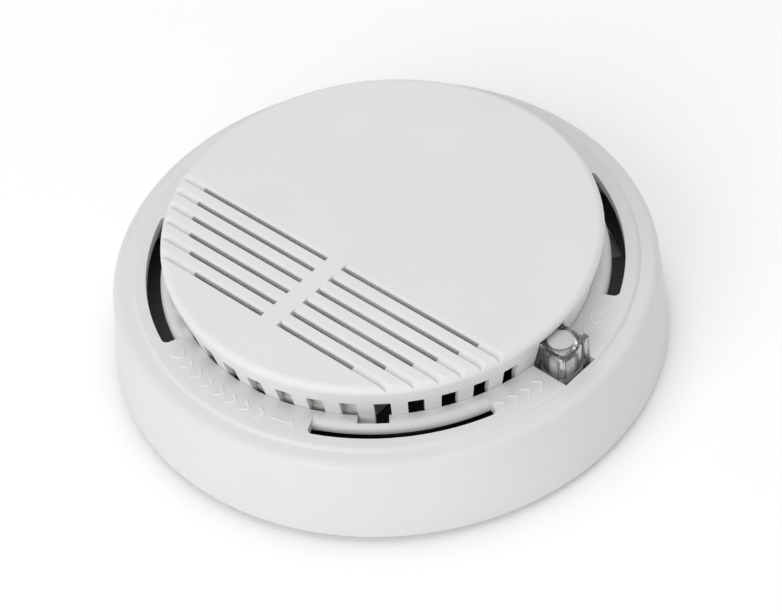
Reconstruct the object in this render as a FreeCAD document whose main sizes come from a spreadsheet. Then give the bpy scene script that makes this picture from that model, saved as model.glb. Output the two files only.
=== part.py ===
import FreeCAD, Part
import math
import os
import re
import Sketcher

# Ceiling smoke detector, in millimetres. The origin is on the axis at the back face of the
# mounting bracket, +Z points away from the ceiling into the room, and the test button is at
# button_angle, measured from +X. Every size below is a cell of the document's spreadsheet.
SIZES = {
    # outer cover
    "base_radius": 53.5,
    "skirt_lean": 1.9,
    "shell_wall": 1.8,
    "rim_gap": 1.5,
    "plate_height": 17.4,
    "plate_thickness": 1.9,
    "ledge_drop": 0.55,
    "ledge_width": 4.0,
    "step_width": 0.6,
    "step_round": 0.5,
    "shoulder_round": 2.0,
    # arc slots in the cover
    "slot_count": 4,
    "slot_half_angle": 22.0,
    "slot_width": 2.6,
    "slot_land": 6.3,
    "slot_lip": 1.7,
    "slot_end_round": 1.1,
    # drum of the grille cap
    "drum_foot_radius": 39.8,
    "drum_flare": 2.0,
    "drum_height": 8.5,
    "drum_wall": 1.2,
    "cap_top": 1.7,
    "cap_round": 1.3,
    "seam_gap": 0.08,
    "cap_flange": 1.2,
    "flange_thickness": 1.4,
    "window_count": 42,
    "window_half_angle": 2.15,
    "window_kept": 33,
    "window_last": -60.15,
    "window_height": 3.95,
    "notch_half_angle": 4.0,
    "notch_angle": -97.0,
    "notch_depth": 1.8,
    # straight vents in the cap
    "vent_turn": 225,
    "vent_first": 13.0,
    "vent_pitch": 3.48,
    "vent_width": 1.2,
    "vent_bridge": 3.8,
    "vent_radius": 36.1,
    "vent_lead": 0.6,
    "vent_slope": 0.95,
    # bracket and twist lock
    "bracket_inset": 5.5,
    "bracket_thickness": 2.2,
    "spigot_margin": 0.35,
    "running_gap": 0.4,
    "screw_spacing": 83.3,
    "screw_slot_length": 6.0,
    "screw_slot_radius": 2.1,
    "hook_angle": 28.5,
    "hook_half_angle": 5.5,
    "hook_inset": 1.6,
    "hook_post": 1.8,
    "hook_lip": 2.2,
    "hook_lip_height": 1.5,
    "twist": 15.0,
    # back shell
    "floor": 1.6,
    "spigot_lift": 0.6,
    "screw_head_room": 3.0,
    "shell_gap": 1.4,
    "boss_radius": 3.0,
    "boss_inset": 6.9,
    "boss_angle": 60.0,
    "screw_radius": 1.2,
    "screw_clearance": 0.3,
    "screw_head": 2.5,
    "screw_head_height": 1.6,
    # battery and its well
    "battery_length": 46.4,
    "battery_width": 26.5,
    "battery_height": 17.5,
    "battery_rest": 0.9,
    "battery_y": 9.55,
    "battery_gap": 0.5,
    "battery_round": 2.0,
    "terminal_reach": 2.1,
    "terminal_pitch": 12.7,
    "stud_radius": 2.85,
    "socket_radius": 4.3,
    "contact_room": 1.35,
    "contact_thickness": 0.4,
    "contact_width": 5.0,
    "lead_radius": 0.6,
    "well_wall": 1.3,
    # circuit board
    "board_thickness": 1.6,
    "board_radius": 37.2,
    "board_post": 6.2,
    "board_gap": 0.5,
    "ear_radius": 48.0,
    "ear_width": 13.0,
    "post_radius": 2.8,
    "post_offset": 5.9,
    "post_y": -9.8,
    "post_front_x": 1.5,
    "post_front_y": -33.0,
    # horn and chamber stand side by side on the board
    "horn_x": -12.5,
    "horn_y": -21.2,
    "horn_radius": 13.2,
    "horn_height": 12.6,
    "horn_wall": 1.0,
    "horn_mouth": 4.0,
    "shelf_angle": -120.2,
    "shelf_half_angle": 21.4,
    "shelf_width": 8.0,
    "shelf_drop": 0.4,
    "shelf_thickness": 1.2,
    "screen_setback": 0.7,
    "screen_height": 6.2,
    "piezo_radius": 11.6,
    "piezo_thickness": 0.3,
    "ceramic_radius": 9.0,
    "chamber_x": 14.2,
    "chamber_y": -19.4,
    "chamber_radius": 12.2,
    "chamber_height": 11.6,
    "chamber_wall": 1.2,
    "vane_count": 16,
    "vane_turn": 38,
    "mesh_thickness": 0.3,
    "emitter_radius": 1.75,
    "emitter_circle": 7.8,
    "led_radius": 2.5,
    # test button
    "button_angle": -46.5,
    "button_centre": 43.0,
    "button_length": 7.0,
    "button_width": 6.2,
    "button_face_width": 7.5,
    "button_face": 1.2,
    "button_rise": 5.6,
    "button_gap": 0.35,
    "button_travel": 1.2,
    "button_flange": 1.5,
    "flange_side": 1.4,
    "button_bore": 2.95,
    "button_crown": 1.2,
    "dimple_radius": 2.5,
    "dimple_depth": 0.35,
}

doc = FreeCAD.newDocument("SmokeDetector")
sheet = doc.addObject("Spreadsheet::Sheet", "Sizes")
for row, (alias, value) in enumerate(SIZES.items(), start=1):
    sheet.set(f"A{row}", alias)
    sheet.set(f"B{row}", str(value))
    sheet.setAlias(f"B{row}", alias)
doc.recompute()

nodes = []


# ---------------------------------------------------------------- expressions

def bound(text):
    """The same expression with every size name pointing at its cell."""
    return re.sub(r"[a-z][a-z_]*", lambda m: f"Sizes.{m[0]}" if m[0] in SIZES else m[0], str(text))


def number(text):
    value = sheet.evalExpression(bound(text))
    return float(getattr(value, "Value", value))


def bind(thing, name, text):
    thing.setExpression(name, bound(text))


# Heights and radii that several pieces share.
PLATE = "(rim_gap + plate_height)"
PLATE_UNDER = "(rim_gap + plate_height - plate_thickness)"
DRUM_TOP = "(rim_gap + plate_height + drum_height)"
DRUM_RIM = "(drum_foot_radius + drum_flare)"
COVER_HOLE = "(drum_foot_radius + seam_gap)"
SLOT_OUTER = "(base_radius - skirt_lean - slot_land)"
SLOT_INNER = "(base_radius - skirt_lean - slot_land - slot_width)"
LEDGE_INNER = "(base_radius - skirt_lean - ledge_width)"
RING_OUTER = "(base_radius - bracket_inset)"
HOOK_OUTER = "(base_radius - bracket_inset - hook_inset)"
SHELL_UNDER = "(bracket_thickness + screw_head_room)"
SHELL_TOP = "(bracket_thickness + screw_head_room + floor)"
SHELL_EDGE = "(base_radius - shell_wall - shell_gap)"
SPIGOT_FLOOR = "(spigot_lift + floor)"
BOARD_UNDER = "(spigot_lift + floor + board_post)"
BOARD_TOP = "(spigot_lift + floor + board_post + board_thickness)"
BOSS_CIRCLE = "(base_radius - boss_inset)"
WELL_ROOF = "(battery_rest + battery_height + battery_gap)"
BATTERY_LEFT = "(-(battery_length + terminal_reach) / 2)"
BATTERY_RIGHT = "((battery_length - terminal_reach) / 2)"
TERMINAL_TIP = "((battery_length + terminal_reach) / 2)"
WELL_LEFT = "(-(battery_length + terminal_reach) / 2 - battery_gap)"
WELL_RIGHT = "((battery_length + terminal_reach) / 2 + contact_room)"
WELL_FRONT = "(battery_y - battery_width / 2 - battery_gap)"
WELL_BACK = "(battery_y + battery_width / 2 + battery_gap)"
CORNER_X = f"({WELL_RIGHT} + well_wall)"
CORNER_Y = f"({WELL_BACK} + well_wall)"
SPIGOT_RADIUS = f"(sqrt({CORNER_X} * {CORNER_X} + {CORNER_Y} * {CORNER_Y}) + spigot_margin)"
RING_INNER = f"({SPIGOT_RADIUS} + running_gap)"
POST_X = f"({WELL_RIGHT} + post_offset)"
BOARD_POSTS = [(f"-{POST_X}", "post_y"), (POST_X, "post_y"), ("post_front_x", "post_front_y")]
BATTERY_MIDDLE = "(battery_rest + battery_height / 2)"
BUTTON_TOP = "(rim_gap + plate_height + button_rise)"
BUTTON_BOTTOM = "(rim_gap + plate_height - plate_thickness - button_gap - button_flange)"
BUTTON_INNER = "(button_centre - button_length / 2)"
BUTTON_OUTER = "(button_centre + button_length / 2)"


# ---------------------------------------------------------------- pieces

def node(thing, name):
    """Give a finished piece its own name and keep it for export."""
    thing.Label = name
    nodes.append(thing)
    return thing


def place(thing, x="0", y="0", z="0"):
    bind(thing, "Placement.Base.x", x)
    bind(thing, "Placement.Base.y", y)
    bind(thing, "Placement.Base.z", z)
    return thing


def turn(thing, angle, axis=(0, 0, 1)):
    """Turn a piece about its own origin by an angle of the sheet."""
    thing.Placement.Rotation = FreeCAD.Rotation(FreeCAD.Vector(*axis), 1)
    bind(thing, "Placement.Rotation.Angle", angle)
    return thing


def cylinder(name, radius, height, x="0", y="0", z="0"):
    thing = doc.addObject("Part::Cylinder", name)
    bind(thing, "Radius", radius)
    bind(thing, "Height", height)
    return place(thing, x, y, z)


def sphere(name, radius, x, y, z):
    thing = doc.addObject("Part::Sphere", name)
    bind(thing, "Radius", radius)
    return place(thing, x, y, z)


def block(name, low, high):
    """A box between two corners, each given as three expressions."""
    thing = doc.addObject("Part::Box", name)
    for side, start, end in zip(("Length", "Width", "Height"), low, high):
        bind(thing, side, f"({end}) - ({start})")
    return place(thing, *low)


def joined(name, things):
    thing = doc.addObject("Part::MultiFuse", name)
    thing.Shapes = things
    return thing


def group(name, things):
    """Separate solids of one kind that share a node."""
    thing = doc.addObject("Part::Compound", name)
    thing.Links = things
    return thing


def cut(name, base, tool):
    thing = doc.addObject("Part::Cut", name)
    thing.Base = base
    thing.Tool = tool
    return thing


def ring(name, outer, inner, height, x="0", y="0", z="0"):
    solid = cylinder(name + "_outer", outer, height, x, y, z)
    hollow = cylinder(name + "_bore", inner, height, x, y, z)
    return cut(name, solid, hollow)


def on_circle(radius, angle):
    return f"{radius} * cos({angle})", f"{radius} * sin({angle})"


# ---------------------------------------------------------------- sketches and bodies

def body(name):
    return doc.addObject("PartDesign::Body", name)


def origin_part(owner, role):
    return next(item for item in owner.Origin.OriginFeatures if item.Role == role)


def sketch(owner, name, role="XY_Plane", lift="0", angle="0"):
    thing = owner.newObject("Sketcher::SketchObject", name)
    thing.AttachmentSupport = [(origin_part(owner, role), "")]
    thing.MapMode = "FlatFace"
    thing.AttachmentOffset = FreeCAD.Placement(
        FreeCAD.Vector(0, 0, number(lift)), FreeCAD.Rotation(FreeCAD.Vector(0, 0, 1), number(angle))
    )
    bind(thing, "AttachmentOffset.Base.z", lift)
    if angle != "0":
        bind(thing, "AttachmentOffset.Rotation.Angle", angle)
    return thing


def hold(drawing, kind, geometry, point, text):
    """Fix one coordinate of a point to an expression."""
    if text == "0":
        axis = -2 if kind == "DistanceX" else -1
        drawing.addConstraint(Sketcher.Constraint("PointOnObject", geometry, point, axis))
        return
    index = drawing.addConstraint(Sketcher.Constraint(kind, -1, 1, geometry, point, number(text)))
    bind(drawing, f"Constraints[{index}]", text)


def outline(drawing, corners):
    """A closed outline of straight edges through corners given as pairs of expressions."""
    first = drawing.GeometryCount
    points = [FreeCAD.Vector(number(x), number(y), 0) for x, y in corners]
    count = len(points)
    for index in range(count):
        drawing.addGeometry(Part.LineSegment(points[index], points[(index + 1) % count]), False)
    for index in range(count):
        following = first + (index + 1) % count
        drawing.addConstraint(Sketcher.Constraint("Coincident", first + index, 2, following, 1))
    for index, (x, y) in enumerate(corners):
        hold(drawing, "DistanceX", first + index, 1, x)
        hold(drawing, "DistanceY", first + index, 1, y)


def rectangle(drawing, x_low, x_high, y_low, y_high):
    outline(drawing, [(x_low, y_low), (x_high, y_low), (x_high, y_high), (x_low, y_high)])


def circle(drawing, x, y, radius):
    centre = FreeCAD.Vector(number(x), number(y), 0)
    index = drawing.addGeometry(Part.Circle(centre, FreeCAD.Vector(0, 0, 1), number(radius)), False)
    hold(drawing, "DistanceX", index, 3, x)
    hold(drawing, "DistanceY", index, 3, y)
    limit = drawing.addConstraint(Sketcher.Constraint("Radius", index, number(radius)))
    bind(drawing, f"Constraints[{limit}]", radius)


def sector(drawing, inner, outer, low_angle, high_angle):
    """A piece of a ring about the origin, between two angles."""
    up = FreeCAD.Vector(0, 0, 1)
    start = number(low_angle)
    end = number(high_angle)

    def spot(radius, angle):
        return FreeCAD.Vector(radius, 0, 0) if not angle else FreeCAD.Rotation(up, angle).multVec(
            FreeCAD.Vector(radius, 0, 0)
        )

    arcs = []
    for radius in (inner, outer):
        whole = Part.Circle(FreeCAD.Vector(), up, number(radius))
        radians = [FreeCAD.Units.Quantity(angle, "deg").getValueAs("rad").Value for angle in (start, end)]
        arc = drawing.addGeometry(Part.ArcOfCircle(whole, *radians), False)
        drawing.addConstraint(Sketcher.Constraint("Coincident", arc, 3, -1, 1))
        limit = drawing.addConstraint(Sketcher.Constraint("Radius", arc, number(radius)))
        bind(drawing, f"Constraints[{limit}]", radius)
        arcs.append(arc)
    for point, text in ((1, low_angle), (2, high_angle)):
        angle = number(text)
        side = drawing.addGeometry(
            Part.LineSegment(spot(number(inner), angle), spot(number(outer), angle)), False
        )
        drawing.addConstraint(Sketcher.Constraint("Coincident", side, 1, arcs[0], point))
        drawing.addConstraint(Sketcher.Constraint("Coincident", side, 2, arcs[1], point))
        for arc, radius in zip(arcs, (inner, outer)):
            hold(drawing, "DistanceY", arc, point, f"({radius}) * sin({text})")


def revolve(owner, name, corners):
    """Turn a closed half-section, given as radius and height, about the axis."""
    drawing = sketch(owner, name + "_section", "XZ_Plane")
    outline(drawing, corners)
    feature = owner.newObject("PartDesign::Revolution", name)
    feature.Profile = drawing
    feature.ReferenceAxis = (drawing, ["V_Axis"])
    feature.Angle = 360
    doc.recompute()
    return feature


def pad(owner, name, drawing, height):
    feature = owner.newObject("PartDesign::Pad", name)
    feature.Profile = drawing
    bind(feature, "Length", height)
    doc.recompute()
    return feature


def pocket(owner, name, drawing, depth):
    """Cut downwards from the sketch, and make sure that something was cut."""
    before = owner.Shape.Volume
    feature = owner.newObject("PartDesign::Pocket", name)
    feature.Profile = drawing
    bind(feature, "Length", depth)
    doc.recompute()
    if owner.Shape.Volume > before - 1e-3:
        raise RuntimeError(f"{name} cut nothing")
    return feature


def around(owner, name, features, count, sweep="360", reverse=False):
    """Repeat features evenly about the body's Z axis, all the way round or over a sweep."""
    pattern = owner.newObject("PartDesign::PolarPattern", name)
    pattern.Originals = features
    pattern.Axis = (origin_part(owner, "Z_Axis"), [""])
    pattern.Reversed = reverse
    bind(pattern, "Angle", sweep)
    bind(pattern, "Occurrences", count)
    owner.Tip = pattern
    doc.recompute()
    return pattern


def edges_where(feature, test):
    return [f"Edge{index}" for index, edge in enumerate(feature.Shape.Edges, start=1) if test(edge)]


def is_arc(edge, radius, height, tolerance=0.02):
    """True for a level circular edge of this radius at this height."""
    curve = edge.Curve
    return (
        isinstance(curve, Part.Circle)
        and abs(curve.Radius - radius) < tolerance
        and abs(curve.Center.z - height) < tolerance
        and abs(edge.BoundBox.ZLength) < tolerance
    )


def upright_edges(feature, radius):
    """The vertical edges that stand at this distance from the axis."""
    def upright(edge):
        x, y, z = edge.CenterOfMass
        return edge.BoundBox.ZLength > 0.1 and edge.BoundBox.XLength + edge.BoundBox.YLength < 0.01 and abs(
            math.hypot(x, y) - number(radius)
        ) < 0.05
    return edges_where(feature, upright)


def round_edges(owner, name, edges, radius):
    if not edges:
        raise RuntimeError(f"{name} found no edge")
    base = owner.Tip
    feature = owner.newObject("PartDesign::Fillet", name)
    feature.Base = (base, edges)
    bind(feature, "Radius", radius)
    doc.recompute()
    return feature


# ---------------------------------------------------------------- mounting bracket

def mounting_bracket():
    """A flat ring with two slotted screw holes and four L-shaped hooks for the twist lock."""
    part = body("mounting_bracket")
    drawing = sketch(part, "bracket_outline")
    circle(drawing, "0", "0", RING_OUTER)
    circle(drawing, "0", "0", RING_INNER)
    pad(part, "bracket_ring", drawing, "bracket_thickness")

    hook_top = f"{SHELL_TOP} + button_gap + hook_lip_height"
    low = "hook_angle - hook_half_angle"
    high = "hook_angle + hook_half_angle"
    drawing = sketch(part, "hook_post_outline", lift="bracket_thickness")
    sector(drawing, f"{HOOK_OUTER} - hook_post", HOOK_OUTER, low, high)
    post = pad(part, "hook_post_pad", drawing, f"{hook_top} - bracket_thickness")
    posts = around(part, "hook_posts", [post], "slot_count")
    drawing = sketch(part, "hook_lip_outline", lift=f"{hook_top} - hook_lip_height")
    sector(drawing, f"{HOOK_OUTER} - hook_post - hook_lip", f"{HOOK_OUTER} - 0.1", low, high)
    lip = pad(part, "hook_lip_pad", drawing, "hook_lip_height")
    around(part, "hook_lips", [lip], "slot_count")

    drawing = sketch(part, "screw_slots_outline", lift="bracket_thickness")
    for side in ("-", ""):
        middle = f"{side}screw_spacing / 2"
        reach = "(screw_slot_length / 2 - screw_slot_radius)"
        rectangle(
            drawing, f"{middle} - {reach}", f"{middle} + {reach}", "-screw_slot_radius", "screw_slot_radius"
        )
    pocket(part, "screw_slots", drawing, "bracket_thickness")
    for side in ("-", ""):
        for end in ("-", "+"):
            label = ("left" if side else "right") + ("_inner" if end == "-" else "_outer")
            drawing = sketch(part, f"slot_end_{label}", lift="bracket_thickness")
            x = f"{side}screw_spacing / 2 {end} (screw_slot_length / 2 - screw_slot_radius)"
            circle(drawing, x, "0", "screw_slot_radius")
            pocket(part, f"slot_round_{label}", drawing, "bracket_thickness")
    return node(part, "mounting_bracket")


# ---------------------------------------------------------------- outer cover

def cover():
    """The skirted cover: wall, shoulder ledge, raised annular plate, arc slots and screw bosses."""
    part = body("cover")
    wall_top = "base_radius - skirt_lean"
    ledge = f"{PLATE} - ledge_drop"
    revolve(part, "cover_shell", [
        (COVER_HOLE, PLATE),
        (LEDGE_INNER, PLATE),
        (f"{LEDGE_INNER} + step_width", ledge),
        (wall_top, ledge),
        ("base_radius", "rim_gap"),
        ("base_radius - shell_wall", "rim_gap"),
        (f"{wall_top} - shell_wall", PLATE_UNDER),
        (COVER_HOLE, PLATE_UNDER),
    ])
    shell = part.Tip
    shoulder = edges_where(shell, lambda e: is_arc(e, number(wall_top), number(ledge)))
    round_edges(part, "shoulder", shoulder, "shoulder_round")
    step = edges_where(part.Tip, lambda e: is_arc(e, number(LEDGE_INNER), number(PLATE)))
    round_edges(part, "plate_step", step, "step_round")

    drawing = sketch(part, "slot_outline", lift=f"{PLATE} + 1")
    sector(drawing, SLOT_INNER, SLOT_OUTER, "-slot_half_angle", "slot_half_angle")
    slot = pocket(part, "slot", drawing, "plate_thickness + 3")
    around(part, "slots", [slot], "slot_count")
    round_edges(part, "slot_ends", upright_edges(part.Tip, SLOT_OUTER), "slot_end_round")
    lips = edges_where(part.Tip, lambda e: is_arc(e, number(SLOT_INNER), number(PLATE)))
    round_edges(part, "slot_lips", lips, "slot_lip")

    drawing = sketch(part, "notch_outline", lift=f"{PLATE} + 1", angle="notch_angle")
    sector(drawing, f"{COVER_HOLE} - 1", f"{COVER_HOLE} + notch_depth",
           "-notch_half_angle", "notch_half_angle")
    pocket(part, "seam_notch", drawing, "plate_thickness + 3")

    drawing = sketch(part, "button_hole_outline", lift=f"{PLATE} + 1", angle="button_angle")
    half = "(button_face_width / 2 + button_gap)"
    rectangle(drawing, f"{COVER_HOLE} - 2", f"{BUTTON_OUTER} + 1", f"-{half}", half)
    pocket(part, "button_hole", drawing, "plate_thickness + 3")

    drawing = sketch(part, "boss_outline", lift=SHELL_TOP, angle="boss_angle")
    circle(drawing, BOSS_CIRCLE, "0", "boss_radius")
    boss = pad(part, "boss", drawing, f"{PLATE_UNDER} - {SHELL_TOP} + 0.5")
    around(part, "bosses", [boss], "slot_count")
    drawing = sketch(part, "boss_bore_outline", lift=f"{SHELL_TOP} + 7", angle="boss_angle")
    circle(drawing, BOSS_CIRCLE, "0", "screw_radius")
    bore = pocket(part, "boss_bore", drawing, "7")
    around(part, "boss_bores", [bore], "slot_count")
    return node(part, "cover")


# ---------------------------------------------------------------- grille cap

def grille_cap():
    """The drum: a flat disc with straight vents over a castellated wall, set into the cover."""
    part = body("cap_moulding")
    inner_foot = "drum_foot_radius - drum_wall"
    inner_rim = f"{DRUM_RIM} - drum_wall"
    flange_top = f"{PLATE_UNDER} - 0.05"
    ceiling = f"{DRUM_TOP} - cap_top"
    revolve(part, "cap_shell", [
        ("0", DRUM_TOP),
        (DRUM_RIM, DRUM_TOP),
        ("drum_foot_radius", PLATE),
        ("drum_foot_radius", flange_top),
        ("drum_foot_radius + cap_flange", flange_top),
        ("drum_foot_radius + cap_flange", f"{flange_top} - flange_thickness"),
        (inner_foot, f"{flange_top} - flange_thickness"),
        (inner_foot, PLATE),
        (inner_rim, ceiling),
        ("0", ceiling),
    ])
    rim = edges_where(part.Tip, lambda e: is_arc(e, number(DRUM_RIM), number(DRUM_TOP)))
    round_edges(part, "cap_rim", rim, "cap_round")

    drawing = sketch(part, "window_outline", lift=f"{PLATE} + window_height", angle="window_last")
    sector(drawing, "drum_foot_radius - drum_wall - 2", "drum_foot_radius + 3",
           "-window_half_angle", "window_half_angle")
    window = pocket(part, "window", drawing, f"{PLATE} + window_height - {flange_top} + flange_thickness + 1")
    sweep = "(window_kept - 1) * 360 / window_count"
    around(part, "windows", [window], "window_kept", sweep, reverse=True)

    drawing = sketch(part, "button_gate_outline", lift=f"{BUTTON_TOP} + button_gap * 2", angle="button_angle")
    half = "(button_width / 2 + button_gap)"
    rectangle(drawing, f"{BUTTON_INNER} - 3", f"{DRUM_RIM} + 3", f"-{half}", half)
    pocket(part, "button_gate", drawing, f"{BUTTON_TOP} - {BUTTON_BOTTOM} + 3")
    drawing = sketch(part, "flange_gate_outline", lift=PLATE_UNDER, angle="button_angle")
    half = "(button_face_width / 2 + flange_side + button_gap)"
    rectangle(drawing, f"{BUTTON_INNER} - 3", f"{DRUM_RIM} + 3", f"-{half}", half)
    pocket(part, "flange_gate", drawing, "flange_thickness + 1")

    drawing = sketch(part, "vent_outline", lift=f"{DRUM_TOP} + 2", angle="vent_turn")
    for step in range(6):
        middle = f"(vent_first + vent_pitch * {step})"
        reach = f"sqrt(vent_radius * vent_radius - {middle} * {middle})"
        for side in ("-", ""):
            low, high = f"{side}vent_bridge / 2", f"{side}{reach}"
            rectangle(drawing, f"{middle} - vent_width / 2", f"{middle} + vent_width / 2", low, high)
    pocket(part, "vents", drawing, "cap_top + 4")
    return node(cut("grille_cap", part, joined("vent_slopes", vent_slopes())), "grille_cap")


def vent_slopes():
    """The sloping side of each vent: a sloped groove from the bridge out to the rim of the cap."""
    slopes = []
    for step in range(6):
        middle = f"(vent_first + vent_pitch * {step})"
        end = f"(sqrt({DRUM_RIM} * {DRUM_RIM} - {middle} * {middle}) + 1)"
        for side, (low, high) in enumerate(((f"-{end}", "-vent_bridge / 2"), ("vent_bridge / 2", end))):
            slope = doc.addObject("Part::Wedge", f"vent_slope_{step}_{side}")
            bind(slope, "Xmin", f"{middle} + vent_width / 2 - 0.3")
            bind(slope, "Xmax", f"{middle} + vent_width / 2 - 0.2")
            bind(slope, "X2min", f"{middle} - vent_width / 2 - vent_lead")
            bind(slope, "X2max", f"{middle} + vent_width / 2")
            bind(slope, "Ymin", f"{DRUM_TOP} - vent_slope")
            bind(slope, "Ymax", f"{DRUM_TOP} + 0.01")
            for name, value in (("Zmin", f"-({high})"), ("Zmax", f"-({low})")):
                bind(slope, name, value)
                bind(slope, name.replace("Z", "Z2"), value)
            upright = FreeCAD.Rotation(FreeCAD.Vector(1, 0, 0), 90)
            turned = FreeCAD.Rotation(FreeCAD.Vector(0, 0, 1), number("vent_turn"))
            slope.Placement.Rotation = turned * upright
            slopes.append(slope)
    return slopes


# ---------------------------------------------------------------- back shell

def back_shell():
    """The rear moulding: spigot, raised rim with twist slots, battery well and board posts."""
    part = body("back_shell")
    revolve(part, "shell", [
        ("0", "spigot_lift"),
        (SPIGOT_RADIUS, "spigot_lift"),
        (SPIGOT_RADIUS, SHELL_UNDER),
        (SHELL_EDGE, SHELL_UNDER),
        (SHELL_EDGE, SHELL_TOP),
        (f"{SPIGOT_RADIUS} - floor", SHELL_TOP),
        (f"{SPIGOT_RADIUS} - floor", SPIGOT_FLOOR),
        ("0", SPIGOT_FLOOR),
    ])
    drawing = sketch(part, "well_outline", lift="spigot_lift")
    rectangle(drawing, f"{WELL_LEFT} - well_wall", f"{WELL_RIGHT} + well_wall",
              f"{WELL_FRONT} - well_wall", f"{WELL_BACK} + well_wall")
    pad(part, "well", drawing, f"{WELL_ROOF} + well_wall - spigot_lift")
    drawing = sketch(part, "post_outline", lift="spigot_lift")
    for x, y in BOARD_POSTS:
        circle(drawing, x, y, "post_radius")
    pad(part, "board_posts", drawing, "floor + board_post")
    drawing = sketch(part, "post_bore_outline", lift=BOARD_UNDER)
    for x, y in BOARD_POSTS:
        circle(drawing, x, y, "screw_radius")
    pocket(part, "post_bores", drawing, "board_post")
    drawing = sketch(part, "well_hollow_outline", lift=WELL_ROOF)
    rectangle(drawing, WELL_LEFT, WELL_RIGHT, WELL_FRONT, WELL_BACK)
    pocket(part, "well_hollow", drawing, WELL_ROOF)

    middle = "hook_angle - twist"
    entry_low = f"{middle} - hook_half_angle - 1.5"
    entry_high = f"{middle} + hook_half_angle + 1.5"
    drawing = sketch(part, "twist_entry_outline", lift=f"{SHELL_TOP} + 1")
    sector(drawing, f"{HOOK_OUTER} - hook_post - hook_lip - button_gap", f"{HOOK_OUTER} + button_gap",
           entry_low, entry_high)
    entry = pocket(part, "twist_entry", drawing, "floor + 2")
    around(part, "twist_entries", [entry], "slot_count")
    drawing = sketch(part, "twist_track_outline", lift=f"{SHELL_TOP} + 1")
    sector(drawing, f"{HOOK_OUTER} - hook_post - button_gap", f"{HOOK_OUTER} + button_gap",
           middle, "hook_angle + hook_half_angle + 0.6")
    track = pocket(part, "twist_track", drawing, "floor + 2")
    around(part, "twist_tracks", [track], "slot_count")

    drawing = sketch(part, "screw_hole_outline", lift=f"{SHELL_TOP} + 1", angle="boss_angle")
    circle(drawing, BOSS_CIRCLE, "0", "screw_radius + screw_clearance")
    hole = pocket(part, "screw_hole", drawing, "floor + 2")
    around(part, "screw_holes", [hole], "slot_count")
    drawing = sketch(part, "contact_window_outline", lift=f"{BOARD_TOP} + 5")
    for side in ("-", ""):
        y = f"(battery_y {side or '+'} terminal_pitch / 2)"
        rectangle(drawing, f"{WELL_RIGHT} - 0.5", f"{WELL_RIGHT} + well_wall + 1",
                  f"{y} - contact_width / 2 - 0.2", f"{y} + contact_width / 2 + 0.2")
    pocket(part, "contact_windows", drawing, "4")
    return node(part, "back_shell")


def screws(name, places, head_z, length, upward):
    """Pan-head screws on one node: heads at head_z, shanks running up or down from there."""
    pieces = []
    for index, (x, y) in enumerate(places):
        shank_z = head_z if upward else f"{head_z} - ({length})"
        cap_z = f"{head_z} - screw_head_height" if upward else head_z
        shank = cylinder(f"{name}_shank_{index}", "screw_radius - 0.02", length, x, y, shank_z)
        head = cylinder(f"{name}_head_{index}", "screw_head", "screw_head_height", x, y, cap_z)
        screw = joined(f"{name}_{index}", [shank, head])
        face = cap_z if upward else f"{head_z} + screw_head_height"
        slot_low = f"{face} - 0.1" if upward else f"{face} - 0.7"
        slot_high = f"{face} + 0.7" if upward else f"{face} + 0.1"
        for long_half, short_half in (("1.5", "0.25"), ("0.25", "1.5")):
            slot = block(f"{name}_slot", (f"{x} - {long_half}", f"{y} - {short_half}", slot_low),
                         (f"{x} + {long_half}", f"{y} + {short_half}", slot_high))
            screw = cut(f"{name}_cut", screw, slot)
        pieces.append(screw)
    return node(group(name, pieces), name)


# ---------------------------------------------------------------- circuit board

def circuit_board():
    """A D-shaped board in front of the battery well, with an ear under the test button."""
    disc = cylinder("board_disc", "board_radius", "board_thickness", z=BOARD_UNDER)
    edge = f"{WELL_FRONT} - well_wall - board_gap"
    half = block("board_half", ("-board_radius - 1", "-board_radius - 1", BOARD_UNDER),
                 ("board_radius + 1", edge, BOARD_TOP))
    shape = doc.addObject("Part::Common", "board_d")
    shape.Base = disc
    shape.Tool = half
    ear = block("board_ear", ("0", "-ear_width / 2", "0"), ("ear_radius", "ear_width / 2", "board_thickness"))
    turn(ear, "button_angle")
    place(ear, "ear_width / 2 * sin(button_angle)", "-ear_width / 2 * cos(button_angle)", BOARD_UNDER)
    board = joined("board_blank", [shape, ear])
    hole = "screw_radius + screw_clearance"
    holes = [cylinder("board_hole", hole, "board_thickness", x, y, BOARD_UNDER) for x, y in BOARD_POSTS]
    well_clear = block("board_well_clear", (f"{WELL_LEFT} - 3", edge, BOARD_UNDER),
                       (f"{WELL_RIGHT} + 3", "board_radius", BOARD_TOP))
    return node(cut("circuit_board", board, joined("board_cuts", holes + [well_clear])), "circuit_board")


# ---------------------------------------------------------------- horn

def arc_wall(name, outer, inner, height, z):
    """A wall round the detector's axis on the horn's side of the drum."""
    solid = cylinder(name + "_outer", outer, height, z=z)
    bind(solid, "Angle", "shelf_half_angle * 2")
    turn(solid, "shelf_angle - shelf_half_angle")
    return cut(name, solid, cylinder(name + "_inner", inner, height, z=z))


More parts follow.
